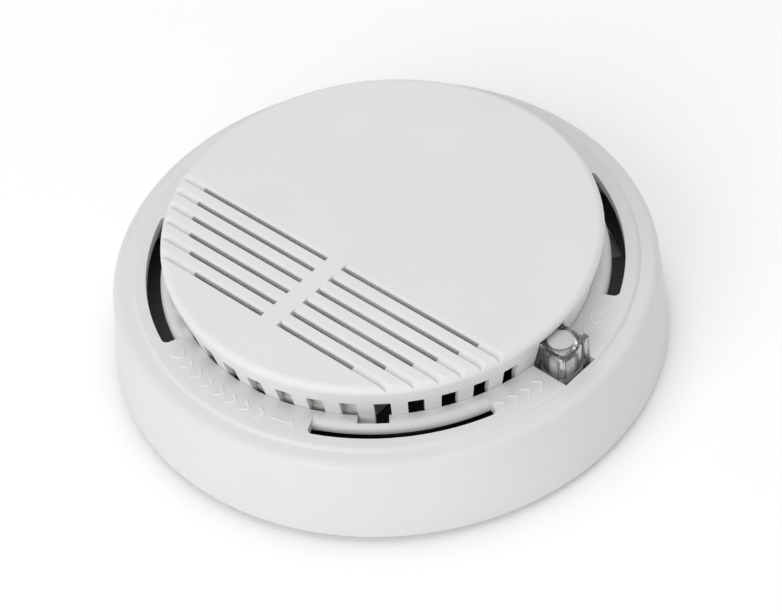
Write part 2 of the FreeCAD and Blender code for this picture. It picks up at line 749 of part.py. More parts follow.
def horn():
    """The piezo horn: a cup with a disc on a gasket, and a shelf and screen behind the windows."""
    x, y = "horn_x", "horn_y"
    shelf = f"{BOARD_TOP} + 5"
    outer = cylinder("horn_outer", "horn_radius", "horn_height", x, y, BOARD_TOP)
    below = cylinder("horn_below", "horn_radius - horn_wall", "5 + piezo_thickness + 0.8", x, y, BOARD_TOP)
    above = cylinder("horn_above", "horn_radius - horn_wall - 1.4", "horn_height - horn_wall",
                     x, y, BOARD_TOP)
    mouth = cylinder("horn_mouth_bore", "horn_mouth", "horn_height", x, y, BOARD_TOP)
    shelf_edge = "(drum_foot_radius - drum_wall - 0.15)"
    shelf_under = f"({PLATE} - shelf_drop - shelf_thickness)"
    screen = f"({shelf_edge} - screen_setback)"
    ledge = arc_wall("horn_shelf", shelf_edge, f"{shelf_edge} - shelf_width", "shelf_thickness", shelf_under)
    wall = arc_wall("horn_screen", screen, f"{screen} - shelf_thickness", "screen_height", shelf_under)
    moulding = joined("horn_body", [outer, ledge, wall])
    cup = cut("horn_housing", moulding, joined("horn_hollow", [below, above, mouth]))
    node(cup, "horn_housing")
    disc = cylinder("piezo_disc", "piezo_radius", "piezo_thickness", x, y, shelf)
    node(disc, "piezo_disc")
    ceramic = cylinder("piezo_ceramic", "ceramic_radius", "piezo_thickness",
                       x, y, f"{shelf} - piezo_thickness")
    node(ceramic, "piezo_ceramic")
    gasket = ring("horn_gasket", "piezo_radius", "piezo_radius - 1.6", "0.8",
                  x, y, f"{shelf} + piezo_thickness")
    node(gasket, "horn_gasket")
    contacts = []
    for index, (offset, reach) in enumerate((("-5", "5 - piezo_thickness"), ("0", "5 - piezo_thickness"),
                                             ("10.5", "5"))):
        base_x = f"{x} + {offset}"
        foot = cylinder(f"horn_pin_{index}", "0.45", reach, base_x, y, BOARD_TOP)
        pad_ = cylinder(f"horn_pad_{index}", "1.1", "0.6", base_x, y, BOARD_TOP)
        contacts.append(joined(f"horn_contact_{index}", [foot, pad_]))
    node(group("horn_contacts", contacts), "horn_contacts")


# ---------------------------------------------------------------- optical chamber

def optical_chamber():
    """The smoke chamber: base with emitter and receiver, ring of light-trap vanes, mesh and lid."""
    x, y = "chamber_x", "chamber_y"
    base_top = f"{BOARD_TOP} + 2"
    lid_under = f"{BOARD_TOP} + chamber_height - chamber_wall"
    base = cylinder("chamber_plate", "chamber_radius", "2", x, y, BOARD_TOP)
    node(base, "chamber_base")
    vanes = []
    middle = "(chamber_radius - 2.6)"
    for index in range(int(SIZES["vane_count"])):
        angle = f"({index} * 360 / vane_count)"
        vane = block(f"vane_{index}", ("0", "0", "0"), ("3.6", "0.7", f"({lid_under}) - ({base_top})"))
        turn(vane, f"{angle} + 90 - vane_turn")
        place(vane, f"{x} + {middle} * cos({angle})", f"{y} + {middle} * sin({angle})", base_top)
        vanes.append(vane)
    node(group("labyrinth_vanes", vanes), "labyrinth_vanes")
    lid = cylinder("chamber_lid", "chamber_radius", "chamber_wall", x, y, lid_under)
    node(lid, "chamber_lid")
    mesh = ring("insect_mesh", "chamber_radius + mesh_thickness + 0.02", "chamber_radius + 0.02",
                "chamber_height - 2.2", x, y, f"{BOARD_TOP} + 1.1")
    node(mesh, "insect_mesh")
    for name, angle in (("infrared_led", 200), ("photodiode", 330)):
        barrel = cylinder(f"{name}_barrel", "emitter_radius", "3.4", z="0")
        nose = sphere(f"{name}_nose", "emitter_radius", "0", "0", "3.4")
        emitter = joined(name, [barrel, nose])
        emitter.Placement.Rotation = FreeCAD.Rotation(FreeCAD.Vector(0, 0, 1), angle) * FreeCAD.Rotation(
            FreeCAD.Vector(0, 1, 0), -90
        )
        place(emitter, f"{x} + emitter_circle * cos({angle})", f"{y} + emitter_circle * sin({angle})",
              f"{base_top} + emitter_radius + 0.02")
        node(emitter, name)


# ---------------------------------------------------------------- small electronics

def electronics():
    """Chips on the underside of the board and the taller parts between horn and chamber."""
    under = BOARD_UNDER
    chip = block("detector_ic", ("-19", "-24", f"{under} - 1.75"), ("-9", "-20", f"{under} - 0.25"))
    node(chip, "detector_ic")
    legs = []
    for y in ("-25", "-20"):
        for index in range(8):
            x = f"(-18.6 + {index} * 1.27)"
            legs.append(block("leg", (x, y, f"{under} - 0.25"), (f"{x} + 0.45", f"{y} + 1", under)))
    node(group("ic_legs", legs), "ic_legs")
    resistors = []
    for index in range(8):
        x = f"({index} * 2.6 + 4)"
        resistors.append(block("resistor", (x, "-20", f"{under} - 0.55"), (f"{x} + 1.3", "-18", under)))
    node(group("chip_resistors", resistors), "chip_resistors")
    capacitors = []
    for index in range(5):
        x = f"({index} * 3.6 + 5)"
        capacitors.append(block("capacitor", (x, "-27", f"{under} - 1"), (f"{x} + 2", "-25.7", under)))
    node(group("chip_capacitors", capacitors), "chip_capacitors")
    can = cylinder("electrolytic_capacitor", "2.4", "8.5", "29.5", "-17", BOARD_TOP)
    node(can, "electrolytic_capacitor")
    half = block("transistor_body", ("-2.2", "-11.6", BOARD_TOP), ("2.2", "-8.2", f"{BOARD_TOP} + 5"))
    node(half, "horn_transistor")
    choke = cylinder("choke", "2.2", "7", "-30.8", "-16.4", BOARD_TOP)
    node(choke, "horn_choke")


def status_led():
    """The indicator lamp on its spacer, standing in the bore of the clear button."""
    x, y = on_circle("button_centre", "button_angle")
    spacer = cylinder("led_spacer", "led_radius + 0.4", "1.2", x, y, BOARD_TOP)
    node(spacer, "led_spacer")
    flange = cylinder("lamp_flange", "led_radius + 0.3", "1", x, y, f"{BOARD_TOP} + 1.2")
    barrel = cylinder("lamp_barrel", "led_radius", "7", x, y, f"{BOARD_TOP} + 1.2")
    dome = sphere("lamp_dome", "led_radius", x, y, f"{BOARD_TOP} + 8.2")
    node(joined("status_led", [flange, barrel, dome]), "status_led")


# ---------------------------------------------------------------- test button

def test_button():
    """The clear push button: core with a lamp bore, a wider front face and a stop flange."""
    part = body("test_button")
    height = f"{BUTTON_TOP} - {BUTTON_BOTTOM}"
    drawing = sketch(part, "button_outline", lift=BUTTON_BOTTOM)
    half = "(button_width / 2)"
    face = "(button_face_width / 2)"
    outline(drawing, [
        (BUTTON_INNER, f"-{half}"),
        (f"{BUTTON_OUTER} - button_face", f"-{half}"),
        (f"{BUTTON_OUTER} - button_face", f"-{face}"),
        (BUTTON_OUTER, f"-{face}"),
        (BUTTON_OUTER, face),
        (f"{BUTTON_OUTER} - button_face", face),
        (f"{BUTTON_OUTER} - button_face", half),
        (BUTTON_INNER, half),
    ])
    pad(part, "button_core", drawing, height)
    drawing = sketch(part, "flange_outline", lift=BUTTON_BOTTOM)
    rectangle(drawing, f"{BUTTON_INNER} - flange_side", f"{BUTTON_OUTER} + flange_side",
              f"-{face} - flange_side", f"{face} + flange_side")
    pad(part, "stop_flange", drawing, "button_flange")
    drawing = sketch(part, "bore_outline", lift=f"{BUTTON_TOP} - button_crown")
    circle(drawing, "button_centre", "0", "button_bore")
    pocket(part, "lamp_bore", drawing, height)
    drawing = sketch(part, "dimple_outline", lift=BUTTON_TOP)
    circle(drawing, "button_centre", "0", "dimple_radius")
    pocket(part, "dimple", drawing, "dimple_depth")
    turn(part, "button_angle")
    return node(part, "test_button")


def test_contact():
    """The bent spring strip that carries the button, and the fixed pin it closes on."""
    part = body("test_contact")
    drawing = sketch(part, "strip_outline", "YZ_Plane", lift="button_centre - 1.2")
    top = f"({BUTTON_BOTTOM} - 0.02)"
    outer = "(button_face_width / 2 + flange_side + 1)"
    thick = "contact_thickness"
    outline(drawing, [
        (f"{outer} - 1.2", BOARD_TOP),
        (outer, BOARD_TOP),
        (outer, f"{top} - 0.9"),
        (f"{outer} - 1.2", top),
        (f"{outer} - 2.7", top),
        (f"{outer} - 2.7", f"{top} - {thick}"),
        (f"{outer} - 1.4", f"{top} - {thick}"),
        (f"{outer} - {thick}", f"{top} - 1.1"),
        (f"{outer} - {thick}", f"{BOARD_TOP} + {thick}"),
        (f"{outer} - 1.2", f"{BOARD_TOP} + {thick}"),
    ])
    pad(part, "strip", drawing, "2.4")
    turn(part, "button_angle")
    node(part, "test_contact")
    side = f"({outer} - 2.1)"
    x = f"button_centre * cos(button_angle) - {side} * sin(button_angle)"
    y = f"button_centre * sin(button_angle) + {side} * cos(button_angle)"
    reach = f"{top} - {thick} - {BOARD_TOP} - button_travel - 0.2"
    node(cylinder("test_pin", "0.5", reach, x, y, BOARD_TOP), "test_pin")


# ---------------------------------------------------------------- battery

def battery():
    """A nine-volt block battery with its terminals toward +X, and the strips they press on."""
    low_y = "battery_y - battery_width / 2"
    high_y = "battery_y + battery_width / 2"
    part = body("battery_case")
    drawing = sketch(part, "case_outline", "YZ_Plane", lift=BATTERY_LEFT)
    rectangle(drawing, low_y, high_y, "battery_rest", "battery_rest + battery_height")
    pad(part, "case", drawing, f"{BATTERY_RIGHT} - 1 - {BATTERY_LEFT}")
    long_edges = edges_where(part.Tip, lambda e: e.BoundBox.XLength > 10 and isinstance(e.Curve, Part.Line))
    round_edges(part, "case_corners", long_edges, "battery_round")
    node(part, "battery_case")
    top = body("battery_top")
    drawing = sketch(top, "top_outline", "YZ_Plane", lift=f"{BATTERY_RIGHT} - 1")
    rectangle(drawing, f"{low_y} + 0.4", f"{high_y} - 0.4", "battery_rest + 0.4",
              "battery_rest + battery_height - 0.4")
    pad(top, "top", drawing, "1")
    node(top, "battery_top")
    stud = cylinder("stud", "stud_radius", "terminal_reach")
    turn(stud, "90", (0, 1, 0))
    place(stud, BATTERY_RIGHT, "battery_y - terminal_pitch / 2", BATTERY_MIDDLE)
    node(stud, "positive_terminal")
    socket = cut("socket", cylinder("socket_outer", "socket_radius", "terminal_reach"),
                 cylinder("socket_bore", "stud_radius", "terminal_reach - 0.5", z="0.5"))
    turn(socket, "90", (0, 1, 0))
    place(socket, BATTERY_RIGHT, "battery_y + terminal_pitch / 2", BATTERY_MIDDLE)
    node(socket, "negative_terminal")
    for name, side in (("positive_contact", "-"), ("negative_contact", "+")):
        y = f"(battery_y {side} terminal_pitch / 2)"
        part = body(name)
        drawing = sketch(part, f"{name}_outline", "XZ_Plane", lift=f"-({y}) - contact_width / 2")
        near = f"({TERMINAL_TIP} + 0.2)"
        far = f"({WELL_RIGHT} - 0.15)"
        window = f"({BOARD_TOP} + 4)"
        outline(drawing, [
            (near, f"{BATTERY_MIDDLE} - 2"),
            (f"{near} + contact_thickness", f"{BATTERY_MIDDLE} - 2"),
            (f"{near} + contact_thickness", f"{BATTERY_MIDDLE} + 2"),
            (far, f"{window} - contact_thickness"),
            (f"{WELL_RIGHT} + well_wall + 1", f"{window} - contact_thickness"),
            (f"{WELL_RIGHT} + well_wall + 1", window),
            (f"{far} - contact_thickness", window),
            (near, f"{BATTERY_MIDDLE} + 2.2"),
        ])
        pad(part, f"{name}_strip", drawing, "contact_width")
        node(part, name)


def lead(name, points):
    """A round wire along straight runs joined by tangent arcs, each as large as its runs allow."""
    corners = [FreeCAD.Vector(*(number(value) for value in point)) for point in points]
    edges = []
    start = corners[0]
    for before, corner, after in zip(corners, corners[1:], corners[2:]):
        back = (before - corner).normalize()
        ahead = (after - corner).normalize()
        half_turn = (math.pi - back.getAngle(ahead)) / 2
        shorter = min((before - corner).Length, (after - corner).Length)
        setback = 0.45 * shorter
        radius = setback / math.tan(half_turn)
        first = corner + back * setback
        last = corner + ahead * setback
        inward = (back + ahead).normalize()
        middle = corner + inward * (math.hypot(radius, setback) - radius)
        edges.append(Part.LineSegment(start, first).toShape())
        edges.append(Part.Arc(first, middle, last).toShape())
        start = last
    edges.append(Part.LineSegment(start, corners[-1]).toShape())
    path = Part.Wire(edges)
    heading = edges[0].tangentAt(edges[0].FirstParameter)
    section = Part.Wire(Part.makeCircle(number("lead_radius"), corners[0], heading))
    thing = doc.addObject("Part::Feature", name)
    thing.Shape = path.makePipeShell([section], True, False)
    ideal = math.pi * number("lead_radius") ** 2 * path.Length
    if abs(thing.Shape.Volume / ideal - 1) > 0.01:
        raise RuntimeError(f"{name} has the wrong volume")
    return node(thing, name)


def battery_leads():
    """Wires from the tails of the contact strips, along the side of the well, down to the board."""
    tail = f"({WELL_RIGHT} + well_wall + 1)"
    level = f"({BOARD_TOP} + 4 - contact_thickness / 2)"
    edge = f"({WELL_FRONT} - well_wall - board_gap)"
    near = "(battery_y - terminal_pitch / 2)"
    far = "(battery_y + terminal_pitch / 2)"
    lead("positive_lead", [
        (f"{tail} + 0.1", near, level),
        (f"{tail} + 2.8", f"{near} - 0.6", level),
        (f"{tail} + 3", f"{near} - 4.6", f"{level} - 0.4"),
        (f"{tail} + 0.4", f"{edge} - 1.4", f"{level} - 0.8"),
        (f"{tail} + 0.2", f"{edge} - 1.7", f"{BOARD_TOP} + 0.07"),
    ])
    lead("negative_lead", [
        (f"{tail} + 0.1", far, level),
        (f"{tail} + 4.6", f"{far} - 0.8", level),
        (f"{tail} + 6", f"{far} - 8", f"{level} - 0.3"),
        (f"{tail} + 7.4", f"{edge} + 3.6", f"{level} - 0.4"),
        (f"{tail} + 7.2", f"{edge} - 1.2", f"{level} - 0.9"),
        (f"{tail} + 7.1", f"{edge} - 1.4", f"{BOARD_TOP} + 0.07"),
    ])


# ---------------------------------------------------------------- build

mounting_bracket()
cover()
grille_cap()
back_shell()
screws("cover_screws", [on_circle(BOSS_CIRCLE, f"(boss_angle + {quarter} * 90)") for quarter in range(4)],
       SHELL_UNDER, "floor + 6", True)
circuit_board()
screws("board_screws", BOARD_POSTS, BOARD_TOP, "board_thickness + 4.5", False)
horn()
optical_chamber()
electronics()
status_led()
test_button()
test_contact()
battery()
battery_leads()
doc.recompute()

for thing in doc.Objects:
    if "Invalid" in thing.State or "Error" in thing.State:
        raise RuntimeError(f"{thing.Label} did not recompute: {thing.State}")
for thing in nodes:
    if thing.Shape.isNull() or not thing.Shape.isValid():
        raise RuntimeError(f"{thing.Label} has no sound shape")

os.makedirs("parts", exist_ok=True)
for thing in nodes:
    thing.Shape.exportStep(f"parts/{thing.Label}.step")
print(len(nodes), "nodes")
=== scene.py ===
import math

import bmesh
import bpy
from mathutils import Matrix, Vector


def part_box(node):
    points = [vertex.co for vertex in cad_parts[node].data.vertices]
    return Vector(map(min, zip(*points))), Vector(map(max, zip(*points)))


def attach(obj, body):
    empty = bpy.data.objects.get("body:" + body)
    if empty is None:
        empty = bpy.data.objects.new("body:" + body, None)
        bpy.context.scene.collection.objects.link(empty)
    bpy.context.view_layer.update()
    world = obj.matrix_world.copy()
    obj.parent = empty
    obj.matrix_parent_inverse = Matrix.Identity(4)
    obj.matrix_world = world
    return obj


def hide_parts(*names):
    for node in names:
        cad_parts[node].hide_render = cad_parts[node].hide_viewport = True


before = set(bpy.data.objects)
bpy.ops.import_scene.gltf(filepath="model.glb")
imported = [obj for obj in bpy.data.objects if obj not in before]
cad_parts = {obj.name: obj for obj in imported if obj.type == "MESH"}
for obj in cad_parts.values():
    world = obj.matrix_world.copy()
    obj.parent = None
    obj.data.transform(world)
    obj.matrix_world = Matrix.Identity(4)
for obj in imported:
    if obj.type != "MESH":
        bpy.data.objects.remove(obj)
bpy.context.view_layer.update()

MM = 0.001

# ---------------------------------------------------------------- sizes read from the frame

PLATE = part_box("cover")[1].z
RIM_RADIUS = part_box("cover")[1].x
RIM_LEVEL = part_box("cover")[0].z
BUTTON_LOW, BUTTON_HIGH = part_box("test_button")
LAMP = (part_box("status_led")[0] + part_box("status_led")[1]) / 2
LAMP_RADIUS = (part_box("status_led")[1].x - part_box("status_led")[0].x) / 2
BUTTON_ANGLE = math.atan2(LAMP.y, LAMP.x)
BUTTON_CENTRE = math.hypot(LAMP.x, LAMP.y)


# ---------------------------------------------------------------- material helpers

class Nodes:
    """A small wrapper round one material's node tree."""

    def __init__(self, name):
        self.material = bpy.data.materials.new(name)
        self.material.use_nodes = True
        self.tree = self.material.node_tree
        self.shader = self.tree.nodes["Principled BSDF"]
        self.place = self.add("ShaderNodeTexCoord").outputs["Object"]

    def add(self, kind, **values):
        node = self.tree.nodes.new(kind)
        for key, value in values.items():
            if key in node.inputs:
                node.inputs[key].default_value = value
            else:
                setattr(node, key, value)
        return node

    def link(self, source, target):
        self.tree.links.new(source, target)

    def set(self, **values):
        for key, value in values.items():
            self.shader.inputs[key.replace("_", " ")].default_value = value
        return self

    def noise(self, scale, detail=3.0, roughness=0.5):
        node = self.add("ShaderNodeTexNoise", Scale=scale, Detail=detail, Roughness=roughness)
        self.link(self.place, node.inputs["Vector"])
        return node.outputs["Fac"]

    def ramp(self, factor, stops):
        """A colour ramp through (position, colour) stops."""
        node = self.add("ShaderNodeValToRGB")
        elements = node.color_ramp.elements
        while len(elements) < len(stops):
            elements.new(0.5)
        for element, (position, colour) in zip(elements, stops):
            element.position = position
            element.color = (*colour, 1.0)
        self.link(factor, node.inputs["Fac"])
        return node.outputs["Color"]

    def range(self, factor, low, high):
        node = self.add("ShaderNodeMapRange")
        node.inputs["To Min"].default_value = low
        node.inputs["To Max"].default_value = high
        self.link(factor, node.inputs["Value"])
        return node.outputs["Result"]

    def bump(self, height, strength, distance):
        node = self.add("ShaderNodeBump", Strength=strength, Distance=distance)
        self.link(height, node.inputs["Height"])
        self.link(node.outputs["Normal"], self.shader.inputs["Normal"])
        return node

    def colour(self, output):
        self.link(output, self.shader.inputs["Base Color"])
        return self

    def rough(self, output):
        self.link(output, self.shader.inputs["Roughness"])
        return self


def grey(level):
    return (level, level, level)


def tint(colour, factor):
    return tuple(min(1.0, channel * factor) for channel in colour)


def moulded(name, colour, roughness=0.42, grain=0.012, mottle=0.015, specks=0.12):
    """Injection-moulded plastic: fine spark-eroded grain, flow mottling, uneven gloss, sparse dust."""
    make = Nodes(name)
    flow = make.noise(55.0, 2.0)
    plain = make.ramp(flow, [(0.3, tint(colour, 1 - mottle)), (0.7, tint(colour, 1 + mottle))])
    dust = make.add("ShaderNodeTexVoronoi", Scale=120.0)
    make.link(make.place, dust.inputs["Vector"])
    speck = make.ramp(dust.outputs["Distance"], [(0.030, grey(specks)), (0.055, grey(0.0))])
    mix = make.add("ShaderNodeMix", data_type="RGBA")
    make.link(speck, mix.inputs["Factor"])
    make.link(plain, mix.inputs["A"])
    mix.inputs["B"].default_value = (*tint(colour, 0.55), 1.0)
    make.colour(mix.outputs["Result"])
    make.rough(make.range(make.noise(180.0), roughness - 0.05, roughness + 0.06))
    make.bump(make.noise(5200.0, 2.0, 0.6), 0.35, grain * MM)
    make.set(IOR=1.52, Specular_IOR_Level=0.45)
    return make.material


def metal(name, colour, roughness=0.3, brushed=None):
    """Plated or rolled metal, with fine streaks along one axis where it is brushed."""
    make = Nodes(name)
    mapping = make.add("ShaderNodeMapping")
    mapping.inputs["Scale"].default_value = brushed or (1, 1, 1)
    make.link(make.place, mapping.inputs["Vector"])
    streaks = make.add("ShaderNodeTexNoise", Scale=900.0, Detail=4.0)
    make.link(mapping.outputs["Vector"], streaks.inputs["Vector"])
    make.colour(make.ramp(streaks.outputs["Fac"], [(0.25, tint(colour, 0.82)), (0.75, tint(colour, 1.08))]))
    make.rough(make.range(make.noise(320.0), roughness - 0.08, roughness + 0.12))
    make.bump(streaks.outputs["Fac"], 0.2, 0.01 * MM)
    make.set(Metallic=1.0)
    return make.material


def clear_plastic(name, clearness, roughness):
    """Clear acrylic, slightly clouded, with faint moulding ripples."""
    make = Nodes(name)
    cloud = make.noise(260.0, 2.0)
    make.colour(make.ramp(cloud, [(0.3, (0.93, 0.94, 0.94)), (0.7, (0.98, 0.98, 0.98))]))
    make.set(IOR=1.49, Transmission_Weight=clearness)
    make.rough(make.range(make.noise(400.0), roughness, roughness + 0.07))
    make.bump(make.noise(700.0, 2.0), 0.25, 0.03 * MM)
    return make.material


def board_mask():
    """Black solder mask over traces, kept very dark partly as painted shade for the view through the windows:
    a slightly raised, slightly lighter pattern of cells.
    """
    make = Nodes("shade_dark_solder_mask")
    cells = make.add("ShaderNodeTexVoronoi", Scale=260.0)
    cells.distance = "MANHATTAN"
    make.link(make.place, cells.inputs["Vector"])
    make.colour(make.ramp(cells.outputs["Distance"], [
        (0.30, (0.007, 0.010, 0.008)), (0.36, (0.014, 0.020, 0.016)), (0.62, (0.014, 0.020, 0.016)),
        (0.68, (0.006, 0.009, 0.007)),
    ]))
    make.rough(make.range(make.noise(300.0), 0.42, 0.55))
    make.bump(cells.outputs["Distance"], 0.4, 0.05 * MM)
    return make.material


def speckled(name, colour, roughness, scale=1500.0, depth=0.02, contrast=0.12):
    """A matt filled material such as ceramic, rubber, epoxy or black moulding."""
    make = Nodes(name)
    grain = make.noise(scale, 4.0, 0.65)
    make.colour(make.ramp(grain, [(0.3, tint(colour, 1 - contrast)), (0.7, tint(colour, 1 + contrast))]))
    make.rough(make.range(make.noise(240.0), roughness - 0.06, roughness + 0.08))
    make.bump(grain, 0.3, depth * MM)
    return make.material


WHITE = (0.715, 0.715, 0.71)
white_cover = moulded("white_cover", tint(WHITE, 0.985), 0.44)
# Raised marks in the cover's white plastic, made 6% lighter: a painted highlight for light caught by the
# raised strokes.
highlight_lit_marks = moulded("highlight_lit_marks", tint(WHITE, 1.06), 0.4, 0.008)
white_cap = moulded("white_cap", tint(WHITE, 1.04), 0.46)
# Back shell made near-black so the view in through the slots and windows reads dark: painted shade, not the
# shell's known colour. Its back marks share it.
shade_dark_shell = moulded("shade_dark_shell", grey(0.11), 0.42, 0.02, 0.06, 0.0)
white_bracket = moulded("white_bracket", tint(WHITE, 0.98), 0.48, 0.02)
white_horn = moulded("white_horn", (0.80, 0.80, 0.78), 0.38)
nickel = metal("nickel_plate", (0.72, 0.69, 0.62), 0.26)
zinc = metal("zinc_plate", (0.66, 0.67, 0.68), 0.34)
rolled_brass = metal("rolled_brass", (0.83, 0.62, 0.28), 0.3, (1, 12, 1))
steel_mesh = metal("mesh_wire", (0.07, 0.07, 0.07), 0.5)
black_oxide = metal("black_oxide", (0.03, 0.03, 0.03), 0.5)
steel_jacket = metal("battery_jacket", (0.18, 0.2, 0.23), 0.33, (1, 30, 30))
chamber_black = speckled("chamber_black", grey(0.012), 0.62)
chip_black = speckled("chip_epoxy", grey(0.02), 0.55, 2600.0)
rubber_black = speckled("gasket_rubber", grey(0.018), 0.8)
ceramic_grey = speckled("piezo_ceramic", (0.62, 0.58, 0.5), 0.6, 2000.0)
ceramic_tan = speckled("capacitor_ceramic", (0.42, 0.28, 0.15), 0.5, 2600.0)
sleeve_blue = speckled("capacitor_sleeve", (0.02, 0.03, 0.09), 0.3, 900.0, 0.01, 0.2)
white_nylon = speckled("white_nylon", grey(0.78), 0.5, 900.0, 0.01, 0.03)
lead_red = speckled("lead_red", (0.45, 0.015, 0.012), 0.38, 700.0, 0.01)
lead_black = speckled("lead_black", grey(0.015), 0.4, 700.0, 0.01)
infrared_tint = speckled("infrared_epoxy", (0.12, 0.09, 0.2), 0.2, 600.0, 0.005)
photodiode_tint = speckled("photodiode_epoxy", (0.012, 0.008, 0.012), 0.18, 600.0, 0.005)
acrylic = clear_plastic("clear_acrylic", 0.97, 0.015)
frosted = clear_plastic("frosted_acrylic", 0.45, 0.4)
# Board kept very dark, partly painted shade for the view through the windows.
shade_dark_solder_mask = board_mask()


def lamp_epoxy():
    """Milky epoxy of the indicator lamp."""
    make = Nodes("lamp_epoxy")
    cloud = make.noise(600.0)
    make.colour(make.ramp(cloud, [(0.3, (0.78, 0.77, 0.76)), (0.7, (0.86, 0.85, 0.84))]))
    make.rough(make.range(cloud, 0.18, 0.32))
    make.set(Subsurface_Weight=0.25, Subsurface_Scale=0.001)
    return make.material


FINISHES = {
    "mounting_bracket": white_bracket,
    "cover": white_cover,
    "grille_cap": white_cap,
    # Near-black shell: painted shade for the view in through the slots.
    "back_shell": shade_dark_shell,
    "cover_screws": zinc,
    "board_screws": black_oxide,
    "circuit_board": shade_dark_solder_mask,
    "horn_housing": white_horn,
    "piezo_disc": rolled_brass,
    "piezo_ceramic": ceramic_grey,
    "horn_gasket": rubber_black,
    "horn_contacts": nickel,
    "chamber_base": chamber_black,
    "labyrinth_vanes": chamber_black,
    "chamber_lid": chamber_black,
    "insect_mesh": steel_mesh,
    "infrared_led": infrared_tint,
    "photodiode": photodiode_tint,
    "detector_ic": chip_black,
    "ic_legs": nickel,
    "chip_resistors": chip_black,
    "chip_capacitors": ceramic_tan,
    "electrolytic_capacitor": sleeve_blue,
    "horn_transistor": chip_black,
    "horn_choke": rubber_black,
    "led_spacer": white_nylon,
    "status_led": lamp_epoxy(),
    "test_button": acrylic,
    "test_contact": nickel,
    "test_pin": nickel,
    "battery_case": steel_jacket,
    "battery_top": chip_black,
    "positive_terminal": nickel,
    "negative_terminal": nickel,
    "positive_contact": nickel,
    "negative_contact": nickel,
    "positive_lead": lead_red,
    "negative_lead": lead_black,
}
for name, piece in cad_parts.items():
    for slot in range(len(piece.material_slots)):
        piece.material_slots[slot].material = FINISHES[name]


# ---------------------------------------------------------------- mesh helpers

def add_piece(name, bm, material, body, smooth=35.0):
    """A finished mesh that rides on a CAD body, shaded smooth up to an angle between faces."""
    bmesh.ops.recalc_face_normals(bm, faces=bm.faces)
    mesh = bpy.data.meshes.new(name)
    bm.to_mesh(mesh)
    bm.free()
    for face in mesh.polygons:
        face.use_smooth = True
    mesh.set_sharp_from_angle(angle=math.radians(smooth))
    mesh.materials.append(material)
    piece = bpy.data.objects.new(name, mesh)
    bpy.context.scene.collection.objects.link(piece)
    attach(piece, body)
    return piece


def add_prism(bm, outline, low, high):
    """A closed prism on a flat outline."""
    start = [bm.verts.new((x, y, low)) for x, y in outline]
    end = [bm.verts.new((x, y, high)) for x, y in outline]
    bm.faces.new(list(reversed(start)))
    bm.faces.new(end)
    count = len(outline)
    for index in range(count):
        following = (index + 1) % count
        bm.faces.new((start[index], start[following], end[following], end[index]))


def bevel_sharp(bm, width, segments=3, angle=30.0, above=None):
    """Rounds every edge sharper than an angle, or only those whose middle is above a height."""
    limit = math.radians(angle)
    edges = []
    for edge in bm.edges:
        if len(edge.link_faces) != 2 or edge.calc_face_angle(0.0) < limit:
            continue
        middle = (edge.verts[0].co + edge.verts[1].co) / 2
        if above is None or middle.z > above:
            edges.append(edge)
    bmesh.ops.bevel(bm, geom=edges, offset=width, segments=segments, profile=0.5, affect="EDGES",
                    clamp_overlap=True)


def lathe(bm, profile, segments=48, closed=True):
    """Turns a half-section, given as radius and height, about the local Z axis."""
    rings = []
    for radius, height in profile:
        if radius < 1e-9:
            rings.append([bm.verts.new((0, 0, height))])
            continue
        turned = []
        for index in range(segments):
            angle = math.tau * index / segments
            turned.append(bm.verts.new((radius * math.cos(angle), radius * math.sin(angle), height)))
        rings.append(turned)
    pairs = list(zip(rings, rings[1:]))
    if closed:
        pairs.append((rings[-1], rings[0]))
    for first, second in pairs:
        if len(first) == 1 and len(second) == 1:
            continue
        for index in range(segments):
            following = (index + 1) % segments
            if len(first) == 1:
                bm.faces.new((first[0], second[index], second[following]))
            elif len(second) == 1:
                bm.faces.new((first[index], first[following], second[0]))
            else:
                bm.faces.new((first[index], first[following], second[following], second[index]))


def arc_points(radius, start, end, steps):
    """Points on a circle about the axis, between two angles in degrees."""
    angles = [math.radians(start + (end - start) * step / steps) for step in range(steps + 1)]
    return [(radius * math.cos(angle), radius * math.sin(angle)) for angle in angles]


def polar(radius, angle):
    """The flat point at a radius and an angle in degrees."""
    angle = math.radians(angle)
    return (radius * math.cos(angle), radius * math.sin(angle))


def box_outline(x_low, x_high, y_low, y_high):
    """A rectangle's corners in order."""
    return [(x_low, y_low), (x_high, y_low), (x_high, y_high), (x_low, y_high)]


def rounded_outline(x_low, x_high, y_low, y_high, radius, steps=5):
    """A rectangle with rounded corners, as points in order."""
    points = []
    corners = [(x_high - radius, y_high - radius, 0), (x_low + radius, y_high - radius, 90),
               (x_low + radius, y_low + radius, 180), (x_high - radius, y_low + radius, 270)]
    for x, y, start in corners:
        for dx, dy in arc_points(radius, start, start + 90, steps):
            points.append((x + dx, y + dy))
    return points


def arc_band(radius, width, start, end):
    """The outline of a band round the axis, between two angles in degrees."""
    steps = max(2, round(abs(end - start) / 2))
    outer = arc_points(radius + width / 2, start, end, steps)
    inner = arc_points(radius - width / 2, end, start, steps)
    return outer + inner


def arrow_head(radius, length, width, angle, forward):
    """A triangle on a circle about the axis, its point leading in the direction of the turn."""
    tip = angle + forward * math.degrees(length / radius)
    return [polar(radius - width / 2, angle), polar(radius, tip), polar(radius + width / 2, angle)]


def place_turned(bm):
    """Turns a mesh built on the X axis to where the button stands."""
    bmesh.ops.transform(bm, matrix=Matrix.Rotation(BUTTON_ANGLE, 4, "Z"), verts=bm.verts)


